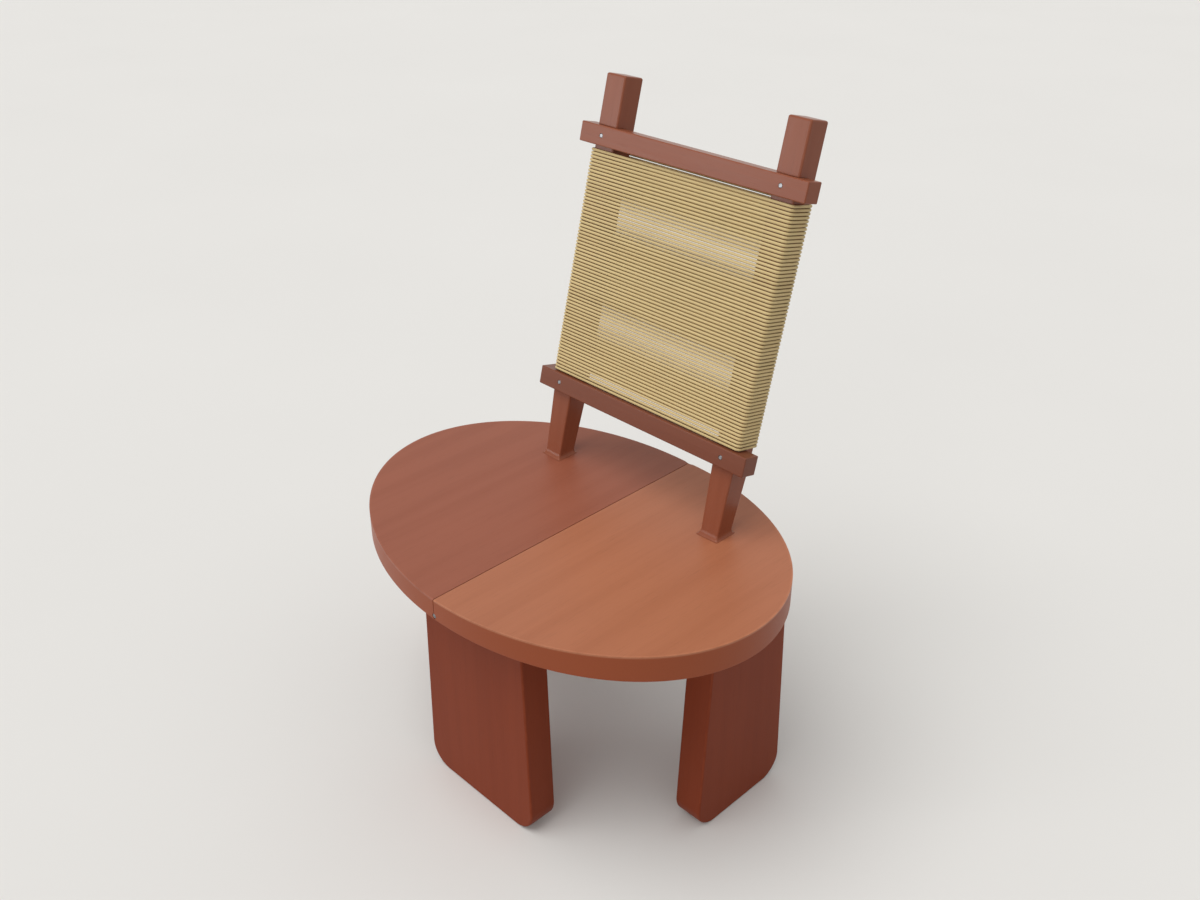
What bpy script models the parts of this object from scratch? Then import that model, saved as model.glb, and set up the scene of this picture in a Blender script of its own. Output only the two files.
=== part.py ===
"""Low lounge chair: an oval seat in two halves on three slab legs, with a leaning back wound with cord.

Metres, +Z up. The chair faces -Y and stands on Z = 0, centred on its own footprint.
"""

from math import ceil, cos, pi, radians, sin, tan

import bmesh
import bpy
import numpy as np
from mathutils import Matrix, Vector

MM = 0.001

# Fits
CLEARANCE = 0.3 * MM  # between pieces that touch
BLIND_CLEARANCE = 0.5 * MM  # past the end of a piece in a blind hole
OVERCUT = 2 * MM  # how far a cutter runs out of the wood

# Seat: two half ovals that dip to a seam from front to back
SEAT_WIDTH = 680 * MM
SEAT_DEPTH = 496 * MM
SEAT_HEIGHT = 388 * MM  # top of the seat at its seam
SEAM_THICKNESS = 32 * MM
END_THICKNESS = 40 * MM  # at the seat's left and right ends
SEAT_EDGE_RADIUS = 2.3 * MM
SEAT_ARC_STEPS = 44

# Steel rod along the seam, half in a groove of each seat half
SEAM_ROD_DIAMETER = 7 * MM
SEAM_ROD_RISE = 5.5 * MM  # its middle, above the seat's underside
SEAM_ROD_CHAMFER = 0.5 * MM

# Slab legs: wider at the foot than at the head
LEG_THICKNESS = 45 * MM
LEG_CORNER_RADIUS = 36 * MM
LEG_EDGE_RADIUS = 3.2 * MM
FRONT_LEG_FOOT = 225 * MM
FRONT_LEG_HEAD = 203 * MM
FRONT_LEG_FACE = 190 * MM  # its face, ahead of the middle of the seat
SIDE_LEG_FOOT = 183 * MM
SIDE_LEG_HEAD = 148 * MM
SIDE_LEG_FACE = 272 * MM  # its face, out from the seam
SIDE_LEG_SETBACK = 73 * MM  # its middle, behind the middle of the seat

# Leg tenons
TENON_WIDTH = 44 * MM
TENON_THICKNESS = 15 * MM
TENON_LENGTH = 18 * MM
FRONT_TENON_SPACING = 125 * MM
SIDE_TENON_SPACING = 72 * MM

# Posts of the back, measured along their lean from the seat where they stand
BACK_LEAN = radians(14)
POST_SECTION = 37 * MM
POST_SPACING = 317.5 * MM
POST_SETBACK = 105.8 * MM  # front face at the seat, behind the middle of the seat
POST_LENGTH = 574.5 * MM
POST_EDGE_RADIUS = 2.7 * MM
POST_FOOT_TAPER = 3.2 * MM  # taken off each side of the foot
FLARE_HEIGHT = 8 * MM
FLARE_REACH = 4.2 * MM
POST_TENON = 22 * MM
POST_TENON_RADIUS = 2 * MM

# Wedges in the posts' tenons
WEDGE_THICKNESS = 4.4 * MM
WEDGE_TIP = 1.4 * MM
WEDGE_LENGTH = 22 * MM

# Rails let into the posts
RAIL_LENGTH = 400 * MM
RAIL_HEIGHT = 28 * MM
RAIL_THICKNESS = 28 * MM
RAIL_HOUSING = 18.3 * MM  # depth that a rail is let into a post
RAIL_EDGE_RADIUS = 1.6 * MM
LOWER_RAIL = 122.6 * MM  # middle of the rail, along the post
UPPER_RAIL = 489.3 * MM

# Steel pins through the rails into the posts
PIN_DIAMETER = 6 * MM
PIN_LENGTH = 40 * MM
PIN_CHAMFER = 0.5 * MM

# Batten under the seat, with countersunk screws
BATTEN_LENGTH = 250 * MM
BATTEN_WIDTH = 50 * MM
BATTEN_THICKNESS = 20 * MM
BATTEN_EDGE_RADIUS = 2 * MM
BATTEN_SCREW_INSET = 22 * MM  # outer screws from the batten's ends
BATTEN_SCREW_PITCH = 50 * MM
BATTEN_SCREW_DIAMETER = 4.5 * MM
BATTEN_SCREW_HEAD = 8.6 * MM
BATTEN_SCREW_LENGTH = 38 * MM
BATTEN_SCREW_POINT = 4 * MM

# Cord round both posts
CORD_DIAMETER = 4.1 * MM
CORD_PITCH = 4.965 * MM
CORD_RIGHT_RISE = 1.2 * MM  # of a turn on the right side; the rest of the pitch is on the left
CORD_CLIMB_END = 20.5 * MM  # on the left side the climb is behind the rails
CORD_RAIL_GAP = 1.2 * MM  # between the first turn and the lower rail, and the least under the upper one
CORD_LENGTH_LOOPS = 24  # most loops wound from one length of cord
CORD_HOLE_DEPTH = 7 * MM  # how far a cord's end goes into the post
CORD_HOLE_MOUTH = 1.2 * MM  # countersink that eases the bend
CORD_HOLE_INSET = 11 * MM  # holes from the post's left and right sides
CORD_BEVEL_RESOLUTION = 1

# Smoothness of curved faces
ROUND_STEPS = 16  # round a bore, rod, pin or screw
CORD_HOLE_STEPS = 12
CORNER_STEPS = 2  # round a post's corner
LEG_CORNER_STEPS = 8
FLARE_STEPS = 4
CROWN_STEPS = 3  # over a post's top
SEAT_EDGE_SEGMENTS = 3
EDGE_SEGMENTS = 2
SMOOTH_ANGLE = radians(32)

# Values that follow from those above
SEAT_SLOPE = (END_THICKNESS - SEAM_THICKNESS) / (SEAT_WIDTH / 2)
SEAT_UNDERSIDE = SEAT_HEIGHT - SEAM_THICKNESS
LEG_HEIGHT = SEAT_UNDERSIDE - CLEARANCE
BACK_HEIGHT = SEAT_HEIGHT + SEAT_SLOPE * POST_SPACING / 2
POST_OUTER = (POST_SPACING + POST_SECTION) / 2
RAIL_FRONT = RAIL_HOUSING - RAIL_THICKNESS
CORD_OFFSET = CLEARANCE + CORD_DIAMETER / 2
CORD_LEFT_RISE = CORD_PITCH - CORD_RIGHT_RISE
BATTEN_SCREW_OUTER = BATTEN_LENGTH / 2 - BATTEN_SCREW_INSET


# Modelling helpers


def finish(name, colour, roughness, metallic=0.0):
    """A plain material. The colour is given as it looks on screen, 0 to 255."""
    made = bpy.data.materials.new(name)
    made.use_nodes = True
    shader = made.node_tree.nodes["Principled BSDF"]
    linear = [(channel / 255) ** 2.2 for channel in colour]
    shader.inputs["Base Color"].default_value = (*linear, 1)
    shader.inputs["Roughness"].default_value = roughness
    shader.inputs["Metallic"].default_value = metallic
    return made


def piece(name, shape, material, parent):
    """An object of this chair, from a closed bmesh in its parent's frame."""
    bmesh.ops.recalc_face_normals(shape, faces=shape.faces)
    mesh = bpy.data.meshes.new(name)
    shape.to_mesh(mesh)
    shape.free()
    mesh.shade_smooth()
    mesh.set_sharp_from_angle(angle=SMOOTH_ANGLE)
    mesh.materials.append(material)
    made = bpy.data.objects.new(name, mesh)
    bpy.context.scene.collection.objects.link(made)
    made.parent = parent
    return made


def carve(wood, shape, operation="DIFFERENCE"):
    """Cuts a shape out of a piece, or joins it on, in the piece's own frame."""
    bmesh.ops.recalc_face_normals(shape, faces=shape.faces)
    mesh = bpy.data.meshes.new(wood.name + "_tool")
    shape.to_mesh(mesh)
    shape.free()
    tool = bpy.data.objects.new(wood.name + "_tool", mesh)
    bpy.context.scene.collection.objects.link(tool)
    tool.parent = wood
    tool.hide_render = True
    tool.display_type = "WIRE"
    modifier = wood.modifiers.new(operation.title(), "BOOLEAN")
    modifier.operation = operation
    modifier.solver = "EXACT"
    modifier.object = tool


def frame(name, location, parent=None, tilt=0.0):
    """An empty that carries pieces. A positive tilt leans its +Z towards +Y."""
    made = bpy.data.objects.new(name, None)
    bpy.context.scene.collection.objects.link(made)
    made.location = location
    made.rotation_euler.x = -tilt
    made.parent = parent
    return made


def add_box(shape, low, high):
    """A box between two corners."""
    middle = [(a + b) / 2 for a, b in zip(low, high)]
    size = [b - a for a, b in zip(low, high)]
    bmesh.ops.create_cube(shape, size=1, matrix=Matrix.Translation(middle) @ Matrix.Diagonal((*size, 1)))


def add_turned(shape, profile, place, steps=ROUND_STEPS):
    """A solid turned about Z from (radius, height) points, then placed by a matrix."""
    solid = bmesh.new()
    points = [solid.verts.new((radius, 0, height)) for radius, height in profile]
    edges = [solid.edges.new(pair) for pair in zip(points, points[1:])]
    bmesh.ops.spin(
        solid, geom=points + edges, axis=(0, 0, 1), cent=(0, 0, 0), angle=2 * pi, steps=steps, use_merge=True
    )
    bmesh.ops.remove_doubles(solid, verts=solid.verts, dist=0.001 * MM)
    bmesh.ops.transform(solid, matrix=place, verts=solid.verts)
    mesh = bpy.data.meshes.new("turned")
    solid.to_mesh(mesh)
    solid.free()
    shape.from_mesh(mesh)
    bpy.data.meshes.remove(mesh)


def add_loft(shape, rings):
    """A solid drawn out from its first ring of points, through the others, to the last."""
    face = shape.faces.new([shape.verts.new(point) for point in rings[0]])
    for before, after in zip(rings, rings[1:]):
        drawn = bmesh.ops.extrude_face_region(shape, geom=[face])["geom"]
        if before is not rings[0]:
            bmesh.ops.delete(shape, geom=[face], context="FACES_ONLY")
        face = next(item for item in drawn if isinstance(item, bmesh.types.BMFace))
        for vert in face.verts:
            nearest = min(range(len(before)), key=lambda i: (vert.co - Vector(before[i])).length)
            vert.co = after[nearest]


def soften(shape, edges, radius, segments=EDGE_SEGMENTS):
    """Rounds edges over."""
    bmesh.ops.bevel(
        shape, geom=edges, offset=radius, segments=segments, profile=0.5, affect="EDGES", material=-1
    )


def rounded_corner(before, corner, after, radius, steps):
    """Points of an arc that rounds the corner of an outline."""
    corner = np.array(corner)
    to_before = (np.array(before) - corner) / np.linalg.norm(np.array(before) - corner)
    to_after = (np.array(after) - corner) / np.linalg.norm(np.array(after) - corner)
    half = np.arccos(to_before @ to_after) / 2
    middle = (to_before + to_after) / np.linalg.norm(to_before + to_after)
    centre = corner + middle * radius / sin(half)
    across = to_after - to_before
    across /= np.linalg.norm(across)
    turns = np.linspace(half - pi / 2, pi / 2 - half, steps + 1)
    return [tuple(centre + radius * (across * sin(turn) - middle * cos(turn))) for turn in turns]


def quarter_turn(steps):
    return [pi / 2 * i / steps for i in range(steps + 1)]


def rounded_square(half, radius):
    """Points round a square with rounded corners, about its middle."""
    corners = [(half, half), (-half, half), (-half, -half), (half, -half)]
    points = []
    for i, corner in enumerate(corners):
        points += rounded_corner(corners[i - 1], corner, corners[(i + 1) % 4], radius, CORNER_STEPS)
    return points


# Shapes that pieces share


def seat_top(x):
    """Height of the seat's top at this distance from the seam."""
    return SEAT_HEIGHT + SEAT_SLOPE * abs(x)


def along_post(depth, height):
    """Where a line along the posts' lean meets this height, in the back's frame."""
    return (height - BACK_HEIGHT + depth * sin(BACK_LEAN)) / cos(BACK_LEAN)


def side_leg_middle():
    return SIDE_LEG_FACE - LEG_THICKNESS / 2


def front_leg_middle():
    return LEG_THICKNESS / 2 - FRONT_LEG_FACE


def tenon_offsets(spacing):
    return -spacing / 2, spacing / 2


def batten_middle():
    """The batten runs under the posts' tenons, so the seat is stiff where the back loads it."""
    depth = POST_SECTION / 2
    return POST_SETBACK + depth * cos(BACK_LEAN) + along_post(depth, SEAT_UNDERSIDE) * sin(BACK_LEAN)


def batten_screw_places():
    outer = BATTEN_SCREW_OUTER
    return [-outer, BATTEN_SCREW_PITCH - outer, outer - BATTEN_SCREW_PITCH, outer]


def along_seam():
    """Places a shape turned about Z so that its axis lies along the seam, to the front."""
    return Matrix.Translation((0, 0, SEAT_UNDERSIDE + SEAM_ROD_RISE)) @ Matrix.Rotation(pi / 2, 4, "X")


def out_of_front(x, depth, height):
    """Places a shape turned about Z so that its axis points out of the back's front."""
    return Matrix.Translation((x, depth, height)) @ Matrix.Rotation(pi / 2, 4, "X")


def rod_profile(radius, low, high, chamfer=0.0):
    """Half the outline of a rod between two heights, with its ends chamfered or square."""
    if not chamfer:
        return [(0, low), (radius, low), (radius, high), (0, high)]
    ends = [(0, low), (radius - chamfer, low), (radius, low + chamfer)]
    return ends + [(radius, high - chamfer), (radius - chamfer, high), (0, high)]


def cord_heights():
    """Heights of the cord's turns along the posts, from the lower rail up."""
    low = LOWER_RAIL + RAIL_HEIGHT / 2 + CORD_RAIL_GAP + CORD_DIAMETER / 2
    high = UPPER_RAIL - RAIL_HEIGHT / 2 - CORD_RAIL_GAP - CORD_DIAMETER / 2
    steps = int((high - low) / CORD_PITCH)
    return [low + CORD_PITCH * i for i in range(steps + 1)]


def cord_lengths():
    """The turns shared out among as many lengths of cord as they need."""
    heights = cord_heights()
    count = ceil(len(heights) / CORD_LENGTH_LOOPS)
    return [list(turns) for turns in np.array_split(heights, count)]


def cord_hole_places():
    """Where the cord's ends go into the back of the left post: (x, height) of each start, then each end."""
    start = -POST_OUTER + CORD_HOLE_INSET
    end = -POST_OUTER + POST_SECTION - CORD_HOLE_INSET
    lengths = cord_lengths()
    starts = [(start, turns[0] - CORD_LEFT_RISE) for turns in lengths]
    ends = [(end, turns[-1] + CORD_RIGHT_RISE) for turns in lengths]
    return starts, ends


# Seat


def seat_half(name, side, material, chair):
    """Half of the oval, with a flat underside, a rounded top rim, its mortises and the rod's groove."""
    turns = np.linspace(-pi / 2, pi / 2, SEAT_ARC_STEPS + 1)
    outline = [(SEAT_WIDTH / 2 * cos(t), SEAT_DEPTH / 2 * sin(t)) for t in turns]
    shape = bmesh.new()
    low = [shape.verts.new((side * max(x, CLEARANCE / 2), y, SEAT_UNDERSIDE)) for x, y in outline]
    raised = bmesh.ops.extrude_face_region(shape, geom=[shape.faces.new(low)])["geom"]
    top = [item for item in raised if isinstance(item, bmesh.types.BMVert)]
    for vert in top:
        vert.co.z = seat_top(vert.co.x)
    rim = [edge for edge in raised if isinstance(edge, bmesh.types.BMEdge)]
    rim = [edge for edge in rim if max(abs(vert.co.x) for vert in edge.verts) > CLEARANCE]
    soften(shape, rim, SEAT_EDGE_RADIUS, SEAT_EDGE_SEGMENTS)
    half = piece(name, shape, material, chair)
    carve(half, seat_openings(side))
    return half


def seat_openings(side):
    """Everything that is bored or chopped into one half of the seat."""
    shape = bmesh.new()
    reach = SEAT_DEPTH / 2 + OVERCUT
    groove = rod_profile(SEAM_ROD_DIAMETER / 2 + CLEARANCE, -reach, reach)
    add_turned(shape, groove, along_seam())
    add_leg_mortises(shape, side)
    add_post_mortise(shape, side)
    for x in batten_screw_places():
        if x * side > 0:
            tip = SEAT_UNDERSIDE - CLEARANCE - BATTEN_THICKNESS + BATTEN_SCREW_LENGTH
            radius = BATTEN_SCREW_DIAMETER / 2 + CLEARANCE
            place = Matrix.Translation((x, batten_middle(), 0))
            add_turned(shape, rod_profile(radius, SEAT_UNDERSIDE - OVERCUT, tip + BLIND_CLEARANCE), place)
    return shape


def add_leg_mortises(shape, side):
    """One mortise for the front leg's tenon on this side, and two for the side leg's."""
    wide = TENON_WIDTH / 2 + CLEARANCE
    thick = TENON_THICKNESS / 2 + CLEARANCE
    low = SEAT_UNDERSIDE - OVERCUT
    high = LEG_HEIGHT + TENON_LENGTH + BLIND_CLEARANCE
    x, y = side * FRONT_TENON_SPACING / 2, front_leg_middle()
    add_box(shape, (x - wide, y - thick, low), (x + wide, y + thick, high))
    x = side * side_leg_middle()
    for offset in tenon_offsets(SIDE_TENON_SPACING):
        y = SIDE_LEG_SETBACK + offset
        add_box(shape, (x - thick, y - wide, low), (x + thick, y + wide, high))


def add_post_mortise(shape, side):
    """A leaning mortise right through the seat."""
    section = rounded_square(POST_TENON / 2 + CLEARANCE, POST_TENON_RADIUS + CLEARANCE)
    lean = Matrix.Translation((0, POST_SETBACK, BACK_HEIGHT)) @ Matrix.Rotation(-BACK_LEAN, 4, "X")
    rings = []
    for height in (SEAT_UNDERSIDE - OVERCUT, SEAT_HEIGHT + END_THICKNESS - SEAM_THICKNESS + OVERCUT):
        ring = [(side * POST_SPACING / 2 + x, POST_SECTION / 2 + depth) for x, depth in section]
        rings.append([lean @ Matrix.Translation((x, d, along_post(d, height))).translation for x, d in ring])
    add_loft(shape, rings)


def seam_rod(name, material, chair):
    """A rod along the whole seam that keeps the two halves level, with chamfered ends."""
    half = SEAT_DEPTH / 2 - CLEARANCE
    profile = rod_profile(SEAM_ROD_DIAMETER / 2, -half, half, SEAM_ROD_CHAMFER)
    shape = bmesh.new()
    add_turned(shape, profile, along_seam())
    return piece(name, shape, material, chair)


# Legs


def slab_leg(name, foot, head, tenon_spacing, material, chair):
    """A tapered slab with rounded lower corners, rounded edges and two tenons. Its broad face is to -Y."""
    corners = [(head / 2, LEG_HEIGHT), (foot / 2, 0), (-foot / 2, 0), (-head / 2, LEG_HEIGHT)]
    outline = [corners[0]]
    outline += rounded_corner(corners[0], corners[1], corners[2], LEG_CORNER_RADIUS, LEG_CORNER_STEPS)
    outline += rounded_corner(corners[1], corners[2], corners[3], LEG_CORNER_RADIUS, LEG_CORNER_STEPS)
    outline.append(corners[3])
    shape = bmesh.new()
    face = shape.faces.new([shape.verts.new((x, -LEG_THICKNESS / 2, z)) for x, z in outline])
    far = bmesh.ops.extrude_face_region(shape, geom=[face])["geom"]
    far = [item for item in far if isinstance(item, bmesh.types.BMVert)]
    bmesh.ops.translate(shape, vec=(0, LEG_THICKNESS, 0), verts=far)
    edges = [edge for edge in shape.edges if abs(edge.verts[0].co.y - edge.verts[1].co.y) < CLEARANCE]
    edges = [edge for edge in edges if min(vert.co.z for vert in edge.verts) < LEG_HEIGHT - CLEARANCE]
    soften(shape, edges, LEG_EDGE_RADIUS)
    leg = piece(name, shape, material, chair)
    tenons = bmesh.new()
    for x in tenon_offsets(tenon_spacing):
        low = (x - TENON_WIDTH / 2, -TENON_THICKNESS / 2, LEG_HEIGHT - TENON_LENGTH)
        high = (x + TENON_WIDTH / 2, TENON_THICKNESS / 2, LEG_HEIGHT + TENON_LENGTH)
        add_box(tenons, low, high)
    carve(leg, tenons, "UNION")
    return leg


# Back


def post(name, side, material, back):
    """A leaning post with a wedged tenon, a coved flare, a tapered foot and housings for the rails."""
    foot = POST_SECTION / 2 - POST_FOOT_TAPER
    full = POST_SECTION / 2
    middle = side * POST_SPACING / 2
    rings = []

    def add_ring(half, radius, height):
        ring = [(middle + x, POST_SECTION / 2 + depth) for x, depth in rounded_square(half, radius)]
        rings.append([(x, depth, height(x, depth)) for x, depth in ring])

    def on_seat(rise):
        return lambda x, depth: along_post(depth, seat_top(x)) + CLEARANCE + rise

    add_ring(POST_TENON / 2, POST_TENON_RADIUS, lambda x, depth: along_post(depth, SEAT_UNDERSIDE))
    add_ring(POST_TENON / 2, POST_TENON_RADIUS, on_seat(0))
    for turn in quarter_turn(FLARE_STEPS):
        reach = FLARE_REACH * (1 - sin(turn))
        rise = FLARE_HEIGHT * (1 - cos(turn))
        add_ring(foot + reach, POST_EDGE_RADIUS, on_seat(rise))
    add_ring(full, POST_EDGE_RADIUS, lambda x, depth: LOWER_RAIL - RAIL_HEIGHT / 2)
    for turn in quarter_turn(CROWN_STEPS):
        inset = POST_EDGE_RADIUS * (1 - cos(turn))
        height = POST_LENGTH - POST_EDGE_RADIUS * (1 - sin(turn))
        add_ring(full - inset, POST_EDGE_RADIUS, lambda x, depth: height)
    shape = bmesh.new()
    add_loft(shape, rings)
    made = piece(name, shape, material, back)
    carve(made, post_openings(side))
    return made


def post_openings(side):
    """Rail housings, the wedge's slot and, on the left, the holes for the cord's ends."""
    shape = bmesh.new()
    middle = side * POST_SPACING / 2
    reach = POST_SECTION / 2 + OVERCUT
    for height in (LOWER_RAIL, UPPER_RAIL):
        half = RAIL_HEIGHT / 2 + CLEARANCE
        floor = RAIL_HOUSING + CLEARANCE
        add_box(shape, (middle - reach, -OVERCUT, height - half), (middle + reach, floor, height + half))
    slot_end = WEDGE_LENGTH + BLIND_CLEARANCE
    add_loft(shape, wedge_rings(side, reach, CLEARANCE, -OVERCUT, slot_end))
    if side < 0:
        starts, ends = cord_hole_places()
        for x, height in starts + ends:
            add_cord_hole(shape, x, height)
    return shape


def add_cord_hole(shape, x, height):
    """A blind hole into the back of a post, with a countersunk mouth."""
    bore = CORD_DIAMETER / 2 + CLEARANCE
    profile = [
        (0, OVERCUT),
        (bore + CORD_HOLE_MOUTH + OVERCUT, OVERCUT),
        (bore, -CORD_HOLE_MOUTH),
        (bore, -CORD_HOLE_DEPTH - BLIND_CLEARANCE),
        (0, -CORD_HOLE_DEPTH - BLIND_CLEARANCE),
    ]
    place = Matrix.Translation((x, POST_SECTION, height)) @ Matrix.Rotation(-pi / 2, 4, "X")
    add_turned(shape, profile, place, CORD_HOLE_STEPS)


def post_pin_holes(wood, side):
    """Blind holes for the rail pins, bored from the floor of each housing."""
    shape = bmesh.new()
    tip = RAIL_FRONT + PIN_LENGTH + BLIND_CLEARANCE
    profile = rod_profile(PIN_DIAMETER / 2 + CLEARANCE, -tip, OVERCUT - RAIL_HOUSING - CLEARANCE)
    for height in (LOWER_RAIL, UPPER_RAIL):
        add_turned(shape, profile, out_of_front(side * POST_SPACING / 2, 0, height))
    carve(wood, shape)


def wedge_rings(side, half_width, allowance, low, high):
    """Rings of a wedge, or of its slot with an allowance, between two rises from the seat's underside."""
    rings = []
    for rise in (low, high):
        half = (WEDGE_THICKNESS + (WEDGE_TIP - WEDGE_THICKNESS) * rise / WEDGE_LENGTH) / 2 + allowance
        corners = [(half_width, half), (-half_width, half), (-half_width, -half), (half_width, -half)]
        ring = [(side * POST_SPACING / 2 + x, POST_SECTION / 2 + depth) for x, depth in corners]
        rings.append([(x, depth, along_post(depth, SEAT_UNDERSIDE) + rise) for x, depth in ring])
    return rings


def post_wedge(name, side, material, back):
    """A tapered wedge in the saw cut of a post's tenon, flush with the seat's underside."""
    shape = bmesh.new()
    add_loft(shape, wedge_rings(side, POST_TENON / 2 - CLEARANCE, 0, 0, WEDGE_LENGTH))
    return piece(name, shape, material, back)


def rail(name, height, material, back):
    """A square rail with rounded edges and two pin holes."""
    shape = bmesh.new()
    low = (-RAIL_LENGTH / 2, RAIL_FRONT, height - RAIL_HEIGHT / 2)
    high = (RAIL_LENGTH / 2, RAIL_HOUSING, height + RAIL_HEIGHT / 2)
    add_box(shape, low, high)
    soften(shape, shape.edges[:], RAIL_EDGE_RADIUS)
    made = piece(name, shape, material, back)
    holes = bmesh.new()
    profile = rod_profile(PIN_DIAMETER / 2 + CLEARANCE, -RAIL_THICKNESS - OVERCUT, OVERCUT)
    for x in (-POST_SPACING / 2, POST_SPACING / 2):
        add_turned(holes, profile, out_of_front(x, RAIL_FRONT, height))
    carve(made, holes)
    return made


def rail_pin(name, side, height, material, back):
    """A pin flush with the rail's front that locks the rail in the post's housing."""
    shape = bmesh.new()
    profile = rod_profile(PIN_DIAMETER / 2, -PIN_LENGTH, 0, PIN_CHAMFER)
    add_turned(shape, profile, out_of_front(side * POST_SPACING / 2, RAIL_FRONT, height))
    return piece(name, shape, material, back)


# Batten


def seat_batten(name, material, chair):
    """A batten across the seam under the seat, with countersunk holes."""
    top = SEAT_UNDERSIDE - CLEARANCE
    y = batten_middle()
    shape = bmesh.new()
    low = (-BATTEN_LENGTH / 2, y - BATTEN_WIDTH / 2, top - BATTEN_THICKNESS)
    add_box(shape, low, (BATTEN_LENGTH / 2, y + BATTEN_WIDTH / 2, top))
    soften(shape, shape.edges[:], BATTEN_EDGE_RADIUS)
    made = piece(name, shape, material, chair)
    bore = BATTEN_SCREW_DIAMETER / 2 + CLEARANCE
    head = BATTEN_SCREW_HEAD / 2 + CLEARANCE
    profile = [(0, -OVERCUT), (head, -OVERCUT), (head, CLEARANCE), (bore, head - bore + CLEARANCE)]
    profile += [(bore, BATTEN_THICKNESS + OVERCUT), (0, BATTEN_THICKNESS + OVERCUT)]
    holes = bmesh.new()
    for x in batten_screw_places():
        add_turned(holes, profile, Matrix.Translation((x, y, top - BATTEN_THICKNESS)))
    carve(made, holes)
    return made


def batten_screw(name, x, material, chair):
    """A countersunk screw from the batten up into the seat."""
    shank, head = BATTEN_SCREW_DIAMETER / 2, BATTEN_SCREW_HEAD / 2
    point = BATTEN_SCREW_LENGTH - BATTEN_SCREW_POINT
    profile = [(0, 0), (head, 0), (shank, head - shank), (shank, point), (0, BATTEN_SCREW_LENGTH)]
    shape = bmesh.new()
    low = SEAT_UNDERSIDE - CLEARANCE - BATTEN_THICKNESS
    add_turned(shape, profile, Matrix.Translation((x, batten_middle(), low)))
    return piece(name, shape, material, chair)


# Cord


def cord_route(turns, start, end):
    """One length of cord: out of its hole, round both posts once for each height, into its last hole.

    The runs across the front and the back are level, and the cord climbs on the sides.
    """
    radius = POST_EDGE_RADIUS + CORD_OFFSET
    centre_x = POST_OUTER - POST_EDGE_RADIUS
    front, rear = POST_EDGE_RADIUS, POST_SECTION - POST_EDGE_RADIUS
    ease = radius * tan(pi / 8)
    behind = POST_SECTION + CORD_OFFSET
    inside = POST_SECTION - CORD_HOLE_DEPTH
    out, bend = centre_x + radius, centre_x + ease
    x, height = start
    route = [(x, inside, height), (x, POST_SECTION, height), (x - CORD_OFFSET, behind, height)]
    for height in turns:
        low, high = height - CORD_LEFT_RISE, height + CORD_RIGHT_RISE
        route += [(-bend, rear + radius, low), (-out, rear + ease, low), (-out, CORD_CLIMB_END, height)]
        route += [(-out, front - ease, height), (-bend, front - radius, height)]
        route += [(bend, front - radius, height), (out, front - ease, height)]
        route += [(out, rear + ease, high), (bend, rear + radius, high)]
    x, height = end
    return route + [(x + CORD_OFFSET, behind, height), (x, POST_SECTION, height), (x, inside, height)]


def least_gap(route):
    """Least gap between parts of one cord that don't follow each other, from points along it."""
    points = np.array(route)
    starts, ends = points[:-1], points[1:]
    runs = ends - starts
    own = np.arange(len(runs))
    least = np.inf
    for share in np.linspace(0, 1, 9):
        samples = starts + share * runs
        offsets = samples[:, None] - starts[None]
        along = np.clip((offsets * runs).sum(2) / (runs * runs).sum(1), 0, 1)
        distances = np.linalg.norm(offsets - along[..., None] * runs, axis=2)
        distances[np.abs(own[:, None] - own[None]) < 3] = np.inf
        least = min(least, distances.min())
    return least - CORD_DIAMETER


def cord(name, route, material, back):
    """An unbroken tube along the route."""
    curve = bpy.data.curves.new(name, "CURVE")
    curve.dimensions = "3D"
    curve.bevel_depth = CORD_DIAMETER / 2
    curve.bevel_resolution = CORD_BEVEL_RESOLUTION
    curve.use_fill_caps = True
    spline = curve.splines.new("POLY")
    spline.points.add(len(route) - 1)
    for point, place in zip(spline.points, route):
        point.co = (*place, 1)
    curve.materials.append(material)
    made = bpy.data.objects.new(name, curve)
    bpy.context.scene.collection.objects.link(made)
    made.parent = back
    print(f"{name}: least gap to itself {least_gap(route) / MM:.2f} mm")
    return made


# Assembly


def footprint_middle():
    """Middle of the chair's depth, from the seat's front edge to the back of the posts' tops."""
    corner = POST_SECTION - POST_EDGE_RADIUS
    crown = POST_LENGTH - POST_EDGE_RADIUS
    rear = POST_SETBACK + crown * sin(BACK_LEAN) + corner * cos(BACK_LEAN) + POST_EDGE_RADIUS
    return (rear - SEAT_DEPTH / 2) / 2


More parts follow.
